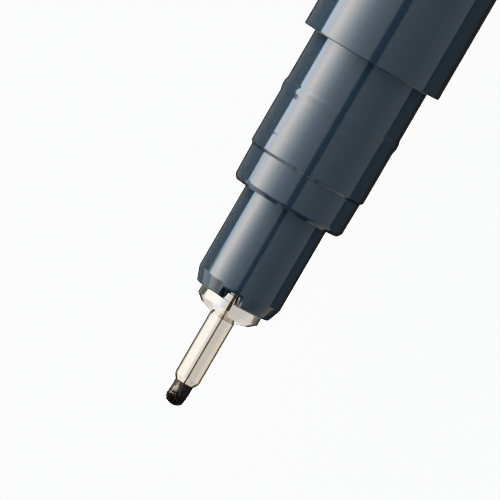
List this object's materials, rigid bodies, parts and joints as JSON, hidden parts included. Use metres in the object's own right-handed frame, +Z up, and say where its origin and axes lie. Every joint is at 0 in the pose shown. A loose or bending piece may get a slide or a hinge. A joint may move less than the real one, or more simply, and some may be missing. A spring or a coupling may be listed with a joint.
{
  "type": "technical pen",
  "caption": "Fibre-tip technical pen with a steel nib tube, notched nose, stepped grip and straight barrel, its clip cap posted on the tail.",
  "frame": {"origin": "on the surface that the pen lies on, under the middle of its box: halfway from the nib's point to the crown's end, and halfway across the barrel and clip", "axes": "+X along the pen's axis from the nib towards the cap's crown, +Z up from the surface, +Y across the pen, away from the side that the clip is on"},
  "size_m": [0.1542, 0.013, 0.0115],
  "materials": {
    "slate_plastic": "gloss moulded polystyrene, dark slate navy",
    "steel": "bright drawn stainless steel with fine lengthwise marks",
    "polished_steel": "lathe-polished stainless steel",
    "nib_fibre": "resin-bonded fibre soaked in black ink, rough at the point",
    "ink_fibre": "fibre bundle soaked in ink",
    "film": "thin clear-white film",
    "white_resin": "natural polyethylene",
    "disc_grey": "light grey moulded disc, plain"
  },
  "bodies": {
    "pen": {"nib": "nib_fibre", "nib_tube": "steel", "tip_flange": "polished_steel", "nose_cone": "slate_plastic", "nib_carrier": "white_resin", "relay_wick": "ink_fibre", "grip_section": "slate_plastic", "barrel": "slate_plastic", "ink_reservoir": "ink_fibre", "reservoir_film": "film", "tail_plug": "slate_plastic"},
    "cap": {"cap_shell": "slate_plastic", "cap_liner": "white_resin", "clip_ring": "steel", "cap_crown": "slate_plastic", "crown_disc": "disc_grey"},
    "clip": {"clip_arm": "steel"}
  },
  "joints": [
    {"name": "cap_slide", "type": "slide", "parent": "pen", "child": "cap", "axis": [1, 0, 0], "range_m": [0, 0.03]},
    {"name": "clip_flex", "type": "hinge", "parent": "cap", "child": "clip", "pos_m": [0.07162, -0.00412, 0.00254], "axis": [0, -0.5471, 0.8371], "range_deg": [0, 5], "stiffness_Nm_per_rad": 0.3, "springref_deg": -1.15}
  ]
}
